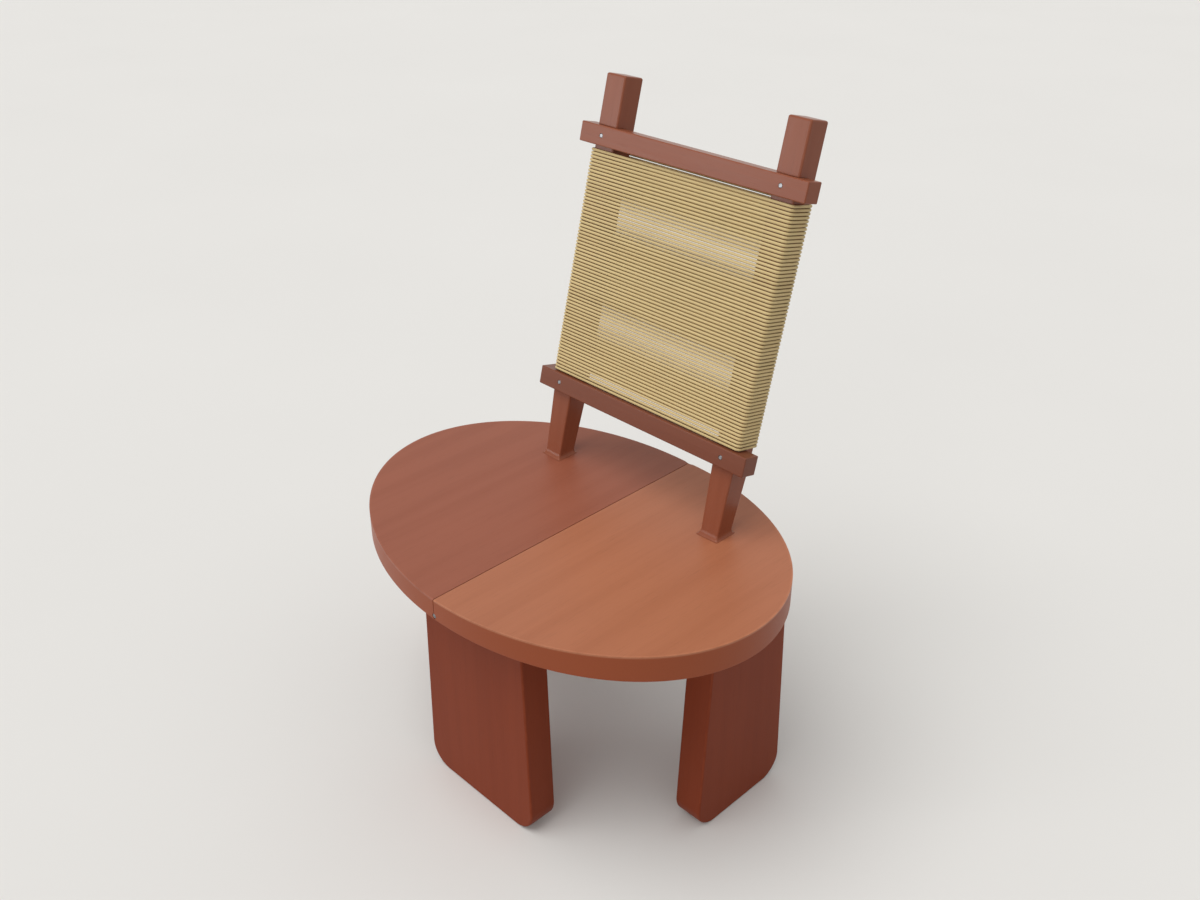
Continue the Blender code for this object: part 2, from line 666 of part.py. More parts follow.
def build():
    for old in list(bpy.data.objects):
        bpy.data.objects.remove(old)

    seat_left_wood = finish("seat_left_wood", (156, 97, 79), 0.45)
    seat_right_wood = finish("seat_right_wood", (176, 113, 85), 0.45)
    leg_wood = finish("leg_wood", (122, 62, 45), 0.5)
    post_wood = finish("post_wood", (150, 100, 84), 0.45)
    rail_wood = finish("rail_wood", (148, 98, 80), 0.45)
    pale_wood = finish("pale_wood", (190, 150, 105), 0.6)
    cord_fibre = finish("cord_fibre", (228, 204, 148), 0.8)
    steel = finish("steel", (150, 150, 152), 0.35, 1.0)

    chair = frame("chair", (0, -footprint_middle(), 0))
    back = frame("back", (0, POST_SETBACK, BACK_HEIGHT), chair, BACK_LEAN)
    sides = {"left": -1, "right": 1}

    for word, side in sides.items():
        wood = seat_left_wood if side < 0 else seat_right_wood
        seat_half("seat_half_" + word, side, wood, chair)
    seam_rod("seam_rod", steel, chair)

    leg = slab_leg("leg_front", FRONT_LEG_FOOT, FRONT_LEG_HEAD, FRONT_TENON_SPACING, leg_wood, chair)
    leg.location.y = front_leg_middle()
    for word, side in sides.items():
        leg = slab_leg("leg_" + word, SIDE_LEG_FOOT, SIDE_LEG_HEAD, SIDE_TENON_SPACING, leg_wood, chair)
        leg.location = (side * side_leg_middle(), SIDE_LEG_SETBACK, 0)
        leg.rotation_euler.z = side * pi / 2

    seat_batten("seat_batten", leg_wood, chair)
    for i, x in enumerate(batten_screw_places(), 1):
        batten_screw(f"batten_screw_{i}", x, steel, chair)

    for word, side in sides.items():
        post_pin_holes(post("post_" + word, side, post_wood, back), side)
        post_wedge("post_wedge_" + word, side, pale_wood, back)
    for level, height in {"lower": LOWER_RAIL, "upper": UPPER_RAIL}.items():
        rail("rail_" + level, height, rail_wood, back)
        for word, side in sides.items():
            rail_pin(f"rail_pin_{level}_{word}", side, height, steel, back)

    starts, ends = cord_hole_places()
    for i, turns in enumerate(cord_lengths()):
        cord(f"cord_length_{i + 1}", cord_route(turns, starts[i], ends[i]), cord_fibre, back)


build()
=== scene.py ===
"""Looks of the low lounge chair: oiled reddish wood, wound paper cord and satin steel.

Metres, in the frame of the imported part: +Z up, the chair faces -Y and stands on Z = 0.
"""

from math import atan2, cos, pi, radians, sin, tan

import bmesh
import bpy
from mathutils import Matrix, Vector


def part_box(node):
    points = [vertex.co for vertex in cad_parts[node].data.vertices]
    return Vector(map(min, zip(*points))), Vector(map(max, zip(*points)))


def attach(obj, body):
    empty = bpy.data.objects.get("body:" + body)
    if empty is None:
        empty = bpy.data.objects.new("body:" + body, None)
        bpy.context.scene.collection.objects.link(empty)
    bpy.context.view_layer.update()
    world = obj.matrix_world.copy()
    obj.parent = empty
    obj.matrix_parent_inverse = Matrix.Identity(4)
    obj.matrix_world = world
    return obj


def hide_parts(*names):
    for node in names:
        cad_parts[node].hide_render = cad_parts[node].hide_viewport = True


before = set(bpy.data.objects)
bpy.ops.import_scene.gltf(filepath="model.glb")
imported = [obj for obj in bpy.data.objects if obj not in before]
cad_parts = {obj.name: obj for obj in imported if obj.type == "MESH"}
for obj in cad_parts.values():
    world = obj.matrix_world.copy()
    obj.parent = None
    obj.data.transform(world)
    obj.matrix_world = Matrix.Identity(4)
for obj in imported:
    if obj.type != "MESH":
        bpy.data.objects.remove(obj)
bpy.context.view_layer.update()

MM = 0.001
SIDES = {"left": -1, "right": 1}

# Fits
CLEARANCE = 0.3 * MM  # between pieces that touch
OVERCUT = 2 * MM  # how far a cutter runs out of the wood

# Seat: two half ovals that dip to a seam from front to back
SEAT_WIDTH = 680 * MM
SEAT_DEPTH = 496 * MM
SEAT_HEIGHT = 388 * MM  # top of the seat at its seam
SEAM_THICKNESS = 32 * MM
END_THICKNESS = 40 * MM  # at the seat's left and right ends
SEAT_EDGE_RADIUS = 2.3 * MM
SEAT_LOWER_EDGE = 0.8 * MM
SEAM_LINE_WIDTH = 1.1 * MM
SEAM_LINE_DEPTH = 2.5 * MM

# Steel rod along the seam
SEAM_ROD_DIAMETER = 7 * MM
SEAM_ROD_RISE = 5.5 * MM  # its middle, above the seat's underside
SEAM_ROD_CHAMFER = 0.5 * MM

# Slab legs: wider at the foot than at the head
LEG_THICKNESS = 45 * MM
LEG_CORNER_RADIUS = 36 * MM
LEG_EDGE_RADIUS = 3.2 * MM
FRONT_LEG_FOOT = 225 * MM
FRONT_LEG_HEAD = 203 * MM
FRONT_LEG_FACE = 190 * MM  # its face, ahead of the middle of the seat
SIDE_LEG_FOOT = 183 * MM
SIDE_LEG_HEAD = 148 * MM
SIDE_LEG_FACE = 272 * MM  # its face, out from the seam
SIDE_LEG_SETBACK = 73 * MM  # its middle, behind the middle of the seat

# Leg tenons
TENON_WIDTH = 44 * MM
TENON_THICKNESS = 15 * MM
TENON_LENGTH = 18 * MM
FRONT_TENON_SPACING = 125 * MM
SIDE_TENON_SPACING = 72 * MM

# Posts of the back, measured along their lean from the seat where they stand
BACK_LEAN = radians(14)
POST_SECTION = 37 * MM
POST_SPACING = 317.5 * MM
POST_SETBACK = 105.8 * MM  # front face at the seat, behind the middle of the seat
POST_LENGTH = 574.5 * MM
POST_EDGE_RADIUS = 2.7 * MM
POST_FOOT_TAPER = 3.2 * MM  # taken off each side of the foot
FLARE_HEIGHT = 8 * MM
FLARE_REACH = 4.2 * MM
POST_TENON = 22 * MM
POST_MORTISE_LOW = -60 * MM  # ends of the cutter for a post's mortise
POST_MORTISE_HIGH = 20 * MM

# Slots for the wedges in the posts' tenons
WEDGE_THICKNESS = 4.4 * MM
WEDGE_TIP = 1.4 * MM
WEDGE_LENGTH = 22 * MM

# Rails let into the posts, with steel pins
RAIL_LENGTH = 400 * MM
RAIL_HEIGHT = 28 * MM
RAIL_THICKNESS = 28 * MM
RAIL_HOUSING = 18.3 * MM  # depth that a rail is let into a post
RAIL_EDGE_RADIUS = 1.6 * MM
RAILS = {"lower": 122.6 * MM, "upper": 489.3 * MM}  # middle of each rail, along the posts
PIN_DIAMETER = 6 * MM
PIN_LENGTH = 40 * MM
PIN_CHAMFER = 0.5 * MM

# Batten under the seat, with holes for its countersunk screws
BATTEN_LENGTH = 250 * MM
BATTEN_WIDTH = 50 * MM
BATTEN_THICKNESS = 20 * MM
BATTEN_EDGE_RADIUS = 2 * MM
BATTEN_SCREWS = (-103 * MM, -53 * MM, 53 * MM, 103 * MM)  # out from the seam
BATTEN_SCREW_DIAMETER = 4.5 * MM
BATTEN_SCREW_HEAD = 8.6 * MM
BATTEN_SCREW_HOLE = 19 * MM  # its depth in the seat

# Cord round both posts
CORD_DIAMETER = 4.1 * MM
CORD_PITCH = 4.965 * MM
CORD_RIGHT_RISE = 1.2 * MM  # of a turn on the right side; the rest of the pitch is on the left
CORD_CLIMB_END = 20.5 * MM  # on the left side the climb is behind the rails
CORD_CLIMB_BEND = 3 * MM
CORD_RAIL_GAP = 1.2 * MM  # between the first turn and the lower rail
CORD_LENGTH_TURNS = (23, 22, 22)
CORD_HOLE_DEPTH = 7 * MM  # how far a cord's end goes into the post
CORD_HOLE_MOUTH = 1.2 * MM  # countersink that eases the bend
CORD_HOLE_INSET = 11 * MM  # holes from the post's left and right sides
CORD_TWIST_PITCH = 24 * MM
CORD_STRANDS = 3
CORD_GROOVE = 0.12 * MM  # between strands

# Smoothness of curved faces
OVAL_STEPS = 288
ROUND_STEPS = 40  # round a bore, rod or pin
LEG_CORNER_STEPS = 20
FLARE_STEPS = 10
CORNER_STEPS = 5  # round a post's corner and over its top
EDGE_SEGMENTS = 4
SEAT_EDGE_SEGMENTS = 5
SEAT_LOWER_SEGMENTS = 2
CORD_SIDES = 12
CORD_STEP = 2.4 * MM  # between points along the cord
CORD_BEND_STEPS = 5
CORD_SMOOTH_ANGLE = radians(60)
SMOOTH_ANGLE = radians(35)
MERGE_DISTANCE = 0.001 * MM  # closer points become one

# Colours as they look on screen, 0 to 255
SEAT_COLOURS = {"left": (149, 86, 65), "right": (172, 107, 77)}
RIM_COLOUR = (146, 71, 38)
LEG_COLOUR = (129, 60, 38)
POST_COLOUR = (137, 78, 56)
# The lower rail's darker colour is painted shade, for the lesser light low on the back; the upper
# rail has the posts' own colour
RAIL_COLOURS_LOWER_PAINTED_SHADE = {"lower": (119, 69, 51), "upper": (137, 78, 56)}
WEDGE_COLOUR = (190, 150, 105)
CORD_COLOURS = ((207, 184, 132), (197, 172, 121))
STEEL_COLOURS = ((120, 121, 124), (138, 139, 142))
FLOOR_COLOURS = ((226, 224, 220), (230, 228, 224))
FLOOR_BOUNCE = (168, 167, 165)  # of the floor where it only lights the chair
SKY_COLOUR = (228, 226, 222)

# Oiled wood
WOOD_SHINE, WOOD_ROUGHNESS = 0.35, 0.44
LEG_SHINE = 0.1
BACK_SHINE, BACK_ROUGHNESS = 0.22, 0.3
STREAK_COLOUR = (0.8, 0.7, 0.62)  # as shares of the wood's own colour
# Rounded edges turn paler and smoother: partly wear, partly a painted highlight along the edges
WEAR_AND_HIGHLIGHT_COLOUR = (1.22, 1.32, 1.4)
WEAR_AND_HIGHLIGHT_EDGE = 0.25  # of a rounded edge's radius, where the wear and the painted highlight are full

# Figure of the wood: waves per metre across the grain, twice, and along it
STREAKS = (46, 46, 1.7)
FIBRES = (620, 620, 13)
PORES = (900, 900, 34)
TONES = (5, 5, 3)
# Patches of edge wear and painted edge highlight
WEAR_AND_HIGHLIGHT_PATCHES = (60, 60, 60)
FIGURE_OUT, FIGURE_UP = 0.5, 0.1  # where a seat half's figure starts, so that the halves differ

# Where each soft lamp hangs, the degrees of sky it fills and its strength
LAMPS = {
    "key_light": ((-0.6, -1.5, 4.3), 45, 1.28),
    "fill_light": ((-2.08, -2.55, 0.82), 17, 0.42),
    "front_light": ((1.1, -2.8, 1.0), 40, 0.34),
}
LAMP_AIM = Vector((0, 0, 0.45))
SKY_LIGHT = 0.6
FLOOR_REACH = 20
FLOOR_GRID = 8

# Camera above the chair's front right corner, as the photograph was taken
CAMERA_PLACE = (1.0646, -0.997, 1.3465)  # from the floor under the middle of the seat
CAMERA_DIP = radians(29.818)
CAMERA_TURN = radians(45.323)
CAMERA_LENS, CAMERA_SENSOR = 36.96, 36  # millimetres

# Values that follow from those above
CHAIR_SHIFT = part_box("seat_half_left")[0].y + SEAT_DEPTH / 2
SEAT_SLOPE = (END_THICKNESS - SEAM_THICKNESS) / (SEAT_WIDTH / 2)
SEAT_UNDERSIDE = SEAT_HEIGHT - SEAM_THICKNESS
LEG_HEIGHT = SEAT_UNDERSIDE - CLEARANCE
FRONT_LEG_MIDDLE = LEG_THICKNESS / 2 - FRONT_LEG_FACE
SIDE_LEG_MIDDLE = SIDE_LEG_FACE - LEG_THICKNESS / 2
BACK_HEIGHT = SEAT_HEIGHT + SEAT_SLOPE * POST_SPACING / 2
RAIL_FRONT = RAIL_HOUSING - RAIL_THICKNESS
POST_OUTER = (POST_SPACING + POST_SECTION) / 2
CORD_OFFSET = CLEARANCE + CORD_DIAMETER / 2
CORD_LEFT_RISE = CORD_PITCH - CORD_RIGHT_RISE
CORD_FIRST_TURN = RAILS["lower"] + RAIL_HEIGHT / 2 + CORD_RAIL_GAP + CORD_DIAMETER / 2
CHAIR = Matrix.Translation((0, CHAIR_SHIFT, 0))
BACK_FOOT = Matrix.Translation((0, CHAIR_SHIFT + POST_SETBACK, BACK_HEIGHT))
BACK = BACK_FOOT @ Matrix.Rotation(-BACK_LEAN, 4, "X")
ACROSS = Matrix.Rotation(pi / 2, 4, "Y")  # turns a piece's grain from upright to level


# Modelling helpers


def mesh_object(name, shape):
    """An object from a bmesh."""
    bmesh.ops.remove_doubles(shape, verts=shape.verts, dist=MERGE_DISTANCE)
    bmesh.ops.recalc_face_normals(shape, faces=shape.faces)
    mesh = bpy.data.meshes.new(name)
    shape.to_mesh(mesh)
    shape.free()
    made = bpy.data.objects.new(name, mesh)
    bpy.context.scene.collection.objects.link(made)
    return made


def evaluated_mesh(source):
    graph = bpy.context.evaluated_depsgraph_get()
    made = source.evaluated_get(graph)
    return bpy.data.meshes.new_from_object(made, preserve_all_data_layers=True, depsgraph=graph)


def piece(name, shape, place, material, node, cuts=(), joins=()):
    """A smooth piece that stands for a CAD node, with shapes cut out of it or joined to it."""
    made = mesh_object(name, shape)
    tools = []
    for tool_shapes, operation in ((joins, "UNION"), (cuts, "DIFFERENCE")):
        for tool_shape in tool_shapes:
            tool = mesh_object(name + "_tool", tool_shape)
            modifier = made.modifiers.new(operation, "BOOLEAN")
            modifier.operation, modifier.solver, modifier.object = operation, "EXACT", tool
            tools.append(tool)
    solid = evaluated_mesh(made)
    made.modifiers.clear()
    for tool in tools:
        bpy.data.objects.remove(tool)
    solid.transform(place)
    solid.shade_smooth()
    solid.set_sharp_from_angle(angle=SMOOTH_ANGLE)
    made.data = solid
    weighted = made.modifiers.new("faces", "WEIGHTED_NORMAL")
    weighted.keep_sharp = True
    made.data = evaluated_mesh(made)
    made.modifiers.clear()
    dress(made, material, node)


def dress(made, material, node):
    """Gives a piece its material and lets it stand for a CAD node."""
    made.data.materials.clear()
    made.data.materials.append(material)
    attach(made, "root")
    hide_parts(node)


def add_box(shape, low, high):
    """A box between two corners. Returns its vertices."""
    middle = [(a + b) / 2 for a, b in zip(low, high)]
    size = [b - a for a, b in zip(low, high)]
    place = Matrix.Translation(middle) @ Matrix.Diagonal((*size, 1))
    return bmesh.ops.create_cube(shape, size=1, matrix=place)["verts"]


def soften(shape, items, offset, segments=EDGE_SEGMENTS, affect="EDGES"):
    """Rounds edges of a solid, or the corners of a flat face."""
    bmesh.ops.bevel(
        shape, geom=items, offset=offset, segments=segments, profile=0.5, affect=affect, material=-1
    )


def drawn_out(shape):
    """Draws a flat shape out. Returns the vertices of its far side, which are still to be moved."""
    drawn = bmesh.ops.extrude_face_region(shape, geom=shape.faces[:])["geom"]
    return [item for item in drawn if isinstance(item, bmesh.types.BMVert)]


def add_turned(shape, profile, place=Matrix.Identity(4)):
    """A solid turned about Z from (radius, height) points, then placed."""
    verts = [shape.verts.new((radius, 0, height)) for radius, height in profile]
    edges = [shape.edges.new(pair) for pair in zip(verts, verts[1:])]
    before = set(shape.verts) - set(verts)
    bmesh.ops.spin(
        shape,
        geom=verts + edges,
        axis=(0, 0, 1),
        cent=(0, 0, 0),
        angle=2 * pi,
        steps=ROUND_STEPS,
        use_merge=True,
    )
    turned = [vert for vert in shape.verts if vert not in before]
    bmesh.ops.transform(shape, matrix=place, verts=turned)


def rod_profile(radius, low, high, chamfer=0.0):
    """Half the outline of a rod between two heights, with its ends chamfered or square."""
    if not chamfer:
        return [(0, low), (radius, low), (radius, high), (0, high)]
    ends = [(0, low), (radius - chamfer, low), (radius, low + chamfer)]
    return ends + [(radius, high - chamfer), (radius - chamfer, high), (0, high)]


def quarter_turn(steps):
    return [pi / 2 * i / steps for i in range(steps + 1)]


def facing_front(x, depth, height):
    """Places a shape turned about Z so that its axis points to the front."""
    return Matrix.Translation((x, depth, height)) @ Matrix.Rotation(pi / 2, 4, "X")


def pin_place(side, height):
    """Where a pin's end shows on the front of a rail, in the back's frame."""
    return facing_front(side * POST_SPACING / 2, RAIL_FRONT, height)


def seat_top(x):
    return SEAT_HEIGHT + SEAT_SLOPE * abs(x)


def along_post(depth, height):
    """Where a line along the posts' lean meets this height, in the back's frame."""
    return (height - BACK_HEIGHT + depth * sin(BACK_LEAN)) / cos(BACK_LEAN)


def batten_middle():
    """How far the posts' tenons end behind the middle of the seat."""
    depth = POST_SECTION / 2
    drift = along_post(depth, SEAT_UNDERSIDE) * sin(BACK_LEAN)
    return POST_SETBACK + depth * cos(BACK_LEAN) + drift


# Shader expressions


class Flow:
    """A value in a tree of shader nodes. Sums on it are written as plain expressions."""

    def __init__(self, nodes, socket):
        self.nodes, self.socket = nodes, socket

    def math(self, operation, *values):
        return self.nodes.node("Math", {"operation": operation}, dict(enumerate(values)))

    def __add__(self, other):
        return self.math("ADD", self, other)

    def __radd__(self, other):
        return self.math("ADD", other, self)

    def __sub__(self, other):
        return self.math("SUBTRACT", self, other)

    def __rsub__(self, other):
        return self.math("SUBTRACT", other, self)

    def __mul__(self, other):
        return self.math("MULTIPLY", self, other)

    def __rmul__(self, other):
        return self.math("MULTIPLY", other, self)

    def __truediv__(self, other):
        return self.math("DIVIDE", self, other)

    def __pow__(self, other):
        return self.math("POWER", self, other)

    def __abs__(self):
        return self.math("ABSOLUTE", self)

    def least(self, other):
        return self.math("MINIMUM", self, other)

    def most(self, other):
        return self.math("MAXIMUM", self, other)

    def ease(self, low, high):
        """0 below low, 1 above high, and smooth between them."""
        values = {"Value": self, "From Min": low, "From Max": high}
        return self.nodes.node("MapRange", {"interpolation_type": "SMOOTHSTEP"}, values)


class Nodes:
    """Nodes of a material or of the world."""

    def __init__(self, tree):
        self.tree = tree

    def feed(self, socket, value):
        if isinstance(value, Flow):
            self.tree.links.new(value.socket, socket)
        else:
            socket.default_value = value

    def node(self, kind, settings, values, output=0):
        """A node of this kind: its settings first, then the values or links of its sockets."""
        made = self.tree.nodes.new("ShaderNode" + kind)
        for key, value in settings.items():
            setattr(made, key, value)
        for key, value in values.items():
            self.feed(made.inputs[key], value)
        return Flow(self, made.outputs[output])

    def seen(self):
        """1 where a surface is looked at, also in metal, and 0 where it only lights the chair."""
        kinds = ("Camera", "Glossy", "Transmission")
        rays = [self.node("LightPath", {}, {}, f"Is {kind} Ray") for kind in kinds]
        return rays[0].most(rays[1]).most(rays[2])


class Finish(Nodes):
    """A material, made node by node."""

    def __init__(self, name):
        self.material = bpy.data.materials.new(name)
        self.material.use_nodes = True
        super().__init__(self.material.node_tree)
        self.shader = self.tree.nodes["Principled BSDF"]

    def shade(self, values):
        """Sets the shader's sockets. Returns the material."""
        for key, value in values.items():
            self.feed(self.shader.inputs[key], value)
        return self.material

    def place(self, where):
        """Object coordinates in the frame of a piece."""
        turn = where.to_euler()
        values = {
            "Vector": self.node("TexCoord", {}, {}, "Object"),
            "Location": where.translation,
            "Rotation": (turn.x, turn.y, turn.z),
        }
        return self.node("Mapping", {"vector_type": "TEXTURE"}, values)

    def parts(self, vector):
        return [self.node("SeparateXYZ", {}, {"Vector": vector}, i) for i in range(3)]

    def noise(self, vector, scale, detail=2.0, rough=0.5):
        """Noise from 0 to 1, with its own scale along each axis."""
        stretched = self.node("VectorMath", {"operation": "MULTIPLY"}, {0: vector, 1: scale})
        values = {"Vector": stretched, "Scale": 1.0, "Detail": detail, "Roughness": rough}
        return self.node("TexNoise", {}, values)

    def blend(self, share, first, second):
        """A colour between two others."""
        settings = {"data_type": "RGBA", "clamp_factor": True}
        return self.node("Mix", settings, {0: share, 6: first, 7: second}, 2)

    def scaled(self, colour, amount):
        """A colour made brighter or darker."""
        return self.node("VectorMath", {"operation": "SCALE"}, {"Vector": colour, "Scale": amount})

    def bump(self, height, distance, strength):
        values = {"Height": height, "Distance": distance, "Strength": strength}
        return self.node("Bump", {}, values)


def shader_colour(seen):
    """A colour for a shader, from how it looks on screen."""
    return (*[(channel / 255) ** 2.2 for channel in seen], 1)


# Wood


def wood_finish(name, seen, grain, edge=None, rim=None, shine=WOOD_SHINE, rough=WOOD_ROUGHNESS):
    """Oiled wood. grain places a frame with Z along the grain.

    edge finds how far a point is on a rounded edge, which turns paler: partly wear, partly a
    painted highlight; rim finds where the wood has drunk more oil.
    """
    finish = Finish(name)
    colour = shader_colour(seen)
    local = finish.place(grain)
    streaks = finish.noise(local, STREAKS, 3)
    fibres = finish.noise(local, FIBRES, 2)
    pores = finish.noise(local, PORES, 1).ease(0.6, 0.75)
    tone = finish.noise(local, TONES, 2)
    deep = [part * share for part, share in zip(colour, STREAK_COLOUR)]
    base = finish.blend(streaks.ease(0.36, 0.72) * 0.34, colour, (*deep, 1))
    rough = rough + 0.1 * (fibres - 0.5) + 0.06 * (tone - 0.5)
    if rim:
        base = finish.blend(rim(finish), base, shader_colour(RIM_COLOUR))
    if edge:
        # Paler, smoother rounded edges in patches: partly wear, partly a painted highlight
        edge_wear_and_highlight = edge(finish) * finish.noise(local, WEAR_AND_HIGHLIGHT_PATCHES, 3).ease(0.3, 0.62)
        edge_wear_and_highlight_colour = [min(1, part * share) for part, share in zip(colour, WEAR_AND_HIGHLIGHT_COLOUR)]
        base = finish.blend(edge_wear_and_highlight * 0.55, base, (*edge_wear_and_highlight_colour, 1))
        rough = rough - 0.07 * edge_wear_and_highlight
    brightness = 1.02 + 0.14 * (tone - 0.5) + 0.08 * (fibres - 0.5) - 0.1 * pores
    values = {
        "Base Color": finish.scaled(base, brightness),
        "Roughness": rough,
        "Specular IOR Level": shine,
        "Normal": finish.bump(fibres * 0.35 - pores, 0.05 * MM, 0.35),
    }
    return finish.shade(values)


def section_edge(place, half_width, half_depth, radius):
    """Rounded edges along Z of a square bar centred on its own frame."""

    def edge(finish):
        x, y, _ = finish.parts(finish.place(place))
        inside = (abs(x) - half_width).least(abs(y) - half_depth)
        return inside.ease(-radius, -WEAR_AND_HIGHLIGHT_EDGE * radius)

    return edge


def slab_edge(place, foot, head):
    """Rounded edges of a slab leg in its own frame, where Y is its thickness."""

    def edge(finish):
        x, y, z = finish.parts(finish.place(place))
        side = abs(x) - (foot / 2 + z * ((head - foot) / 2 / LEG_HEIGHT))
        inside = side.most(0 - z).least(abs(y) - LEG_THICKNESS / 2)
        return inside.ease(-LEG_EDGE_RADIUS, -WEAR_AND_HIGHLIGHT_EDGE * LEG_EDGE_RADIUS)

    return edge


def seat_edge(finish):
    """The rounded upper rim of the oval."""
    x, y, z = finish.parts(finish.place(CHAIR))
    across, along = x / (SEAT_WIDTH / 2), y / (SEAT_DEPTH / 2)
    rim = ((across * across + along * along) ** 0.5 - 1) * (SEAT_DEPTH / 2)
    top = z - SEAT_HEIGHT - abs(x) * SEAT_SLOPE
    return rim.least(top).ease(-1.2 * SEAT_EDGE_RADIUS, -WEAR_AND_HIGHLIGHT_EDGE * SEAT_EDGE_RADIUS)


def seat_rim(finish):
    """The rim below the seat's rounded edge."""
    x, _, z = finish.parts(finish.place(CHAIR))
    below = SEAT_HEIGHT + abs(x) * SEAT_SLOPE - z
    return below.ease(0.6 * SEAT_EDGE_RADIUS, 1.6 * SEAT_EDGE_RADIUS)


# Seat


def seat_half(side, word, material):
    shape = bmesh.new()
    oval = Matrix.Diagonal((SEAT_WIDTH / 2, SEAT_DEPTH / 2, 1, 1))
    oval = Matrix.Translation((0, 0, SEAT_UNDERSIDE)) @ oval
    bmesh.ops.create_circle(shape, cap_ends=True, segments=OVAL_STEPS, radius=1, matrix=oval)
    bmesh.ops.bisect_plane(
        shape,
        geom=shape.verts[:] + shape.edges[:] + shape.faces[:],
        plane_co=(side * CLEARANCE / 2, 0, 0),
        plane_no=(side, 0, 0),
        clear_inner=True,
    )
    upper = set(drawn_out(shape))
    lower = set(shape.verts) - upper
    for vert in upper:
        vert.co.z = seat_top(vert.co.x)

    def on_seam(edge):
        return all(abs(vert.co.x) < CLEARANCE for vert in edge.verts)

    def round_oval(verts):
        return [edge for edge in shape.edges if set(edge.verts) <= verts and not on_seam(edge)]

    rim, base = round_oval(upper), round_oval(lower)
    soften(shape, rim, SEAT_EDGE_RADIUS, SEAT_EDGE_SEGMENTS)
    base = [edge for edge in base if edge.is_valid]
    soften(shape, base, SEAT_LOWER_EDGE, SEAT_LOWER_SEGMENTS)
    cuts = (seat_openings(side), seam_line(), rim_lines())
    name, slot, node = f"seat_board_{word}", f"seat_{word}_wood", f"seat_half_{word}"
    piece(name, shape, CHAIR, material, node, cuts)


def seat_openings(side):
    """The rod's groove, the mortises and the screw holes in one half of the seat."""
    shape = bmesh.new()
    reach = SEAT_DEPTH / 2 + OVERCUT
    groove = rod_profile(SEAM_ROD_DIAMETER / 2 + CLEARANCE, -reach, reach)
    add_turned(shape, groove, facing_front(0, 0, SEAT_UNDERSIDE + SEAM_ROD_RISE))
    add_leg_mortises(shape, side)
    add_post_mortise(shape, side)
    low, high = SEAT_UNDERSIDE - OVERCUT, SEAT_UNDERSIDE + BATTEN_SCREW_HOLE
    bore = rod_profile(BATTEN_SCREW_DIAMETER / 2 + CLEARANCE, low, high)
    for x in BATTEN_SCREWS:
        if x * side > 0:
            add_turned(shape, bore, Matrix.Translation((x, batten_middle(), 0)))
    return shape


def add_leg_mortises(shape, side):
    """One mortise for the front leg and two for the side leg."""
    wide, thick = TENON_WIDTH / 2 + CLEARANCE, TENON_THICKNESS / 2 + CLEARANCE
    low, high = SEAT_UNDERSIDE - OVERCUT, LEG_HEIGHT + TENON_LENGTH + CLEARANCE
    x, y = side * FRONT_TENON_SPACING / 2, FRONT_LEG_MIDDLE
    add_box(shape, (x - wide, y - thick, low), (x + wide, y + thick, high))
    x = side * SIDE_LEG_MIDDLE
    for offset in (-SIDE_TENON_SPACING / 2, SIDE_TENON_SPACING / 2):
        y = SIDE_LEG_SETBACK + offset
        add_box(shape, (x - thick, y - wide, low), (x + thick, y + wide, high))


def add_post_mortise(shape, side):
    """A square mortise along a post's lean."""
    x, depth = side * POST_SPACING / 2, POST_SECTION / 2
    half = POST_TENON / 2 + CLEARANCE
    low = (x - half, depth - half, POST_MORTISE_LOW)
    verts = add_box(shape, low, (x + half, depth + half, POST_MORTISE_HIGH))
    bmesh.ops.transform(shape, matrix=CHAIR.inverted() @ BACK, verts=verts)


def seam_line():
    """A narrow shadow line along the top of the seam."""
    shape = bmesh.new()
    half, reach = SEAM_LINE_WIDTH / 2, SEAT_DEPTH / 2 + OVERCUT
    low = (-half, -reach, SEAT_HEIGHT - SEAM_LINE_DEPTH)
    add_box(shape, low, (half, reach, SEAT_HEIGHT + OVERCUT))
    return shape


def rim_lines():
    """The same line down the rim, at the front and at the back."""
    shape = bmesh.new()
    half, rim = SEAM_LINE_WIDTH / 2, SEAT_DEPTH / 2
    for y in (-rim, rim):
        low = (-half, y - SEAM_LINE_DEPTH, SEAT_UNDERSIDE - OVERCUT)
        add_box(shape, low, (half, y + SEAM_LINE_DEPTH, SEAT_HEIGHT + OVERCUT))
    return shape


def seam_rod(material):
    shape = bmesh.new()
    half = SEAT_DEPTH / 2 - CLEARANCE
    add_turned(shape, rod_profile(SEAM_ROD_DIAMETER / 2, -half, half, SEAM_ROD_CHAMFER))
    place = CHAIR @ facing_front(0, 0, SEAT_UNDERSIDE + SEAM_ROD_RISE)
    piece("seam_bar", shape, place, material, "seam_rod")


# Legs


